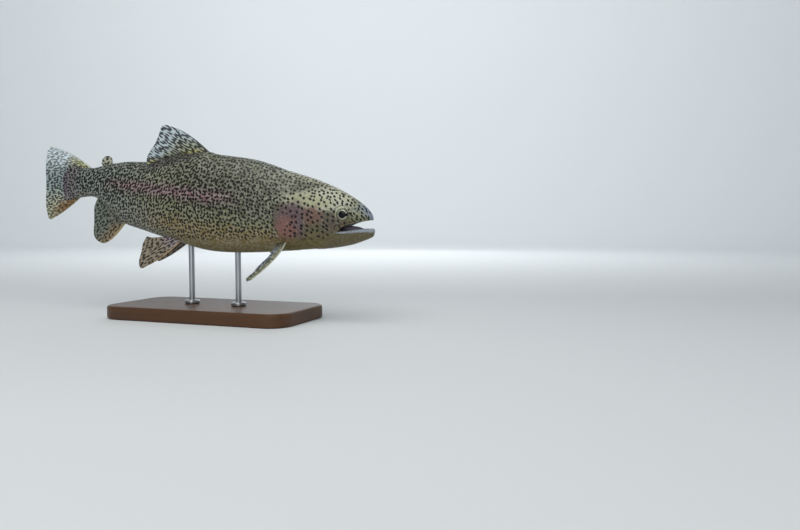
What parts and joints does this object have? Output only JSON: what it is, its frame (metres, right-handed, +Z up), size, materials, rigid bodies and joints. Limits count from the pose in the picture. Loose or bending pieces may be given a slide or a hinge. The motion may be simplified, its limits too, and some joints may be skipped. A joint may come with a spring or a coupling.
{
  "type": "rainbow trout model on a stand",
  "caption": "Life-size museum model of a swimming rainbow trout, mouth a little open and fins spread, held over a flat wooden base by short steel rods.",
  "frame": {"origin": "middle of the flat underside of the stand's base", "axes": "+X along the fish towards its head, +Y to the fish's left, +Z up"},
  "size_m": [0.4851, 0.12, 0.2361],
  "materials": {
    "skin": "olive skin with black spots, satin varnish",
    "cheek": "pink gill cover, satin varnish",
    "fin": "pale grey fin skin with dark streaks, satin varnish",
    "eye": "wet gloss",
    "mouth": "pale mouth lining, satin varnish",
    "stand_wood": "dark stained wood, satin lacquer",
    "stand_steel": "brushed"
  },
  "bodies": {
    "root": {"head": "skin", "lower_jaw": "skin", "tongue": "mouth", "trunk": "skin", "tail_stalk": "skin", "eye_right": "eye", "gill_cover_right": "cheek", "upper_lip_blade_right": "skin", "eye_left": "eye", "gill_cover_left": "cheek", "upper_lip_blade_left": "skin", "dorsal_fin": "fin", "adipose_fin": "fin", "anal_fin": "fin", "tail_fin": "fin", "pelvic_fin_right": "fin", "pelvic_fin_left": "fin", "pectoral_fin_right": "fin", "pectoral_fin_left": "fin", "stand_base": "stand_wood", "stand_rod_front": "stand_steel", "stand_rod_rear": "stand_steel"}
  },
  "joints": []
}
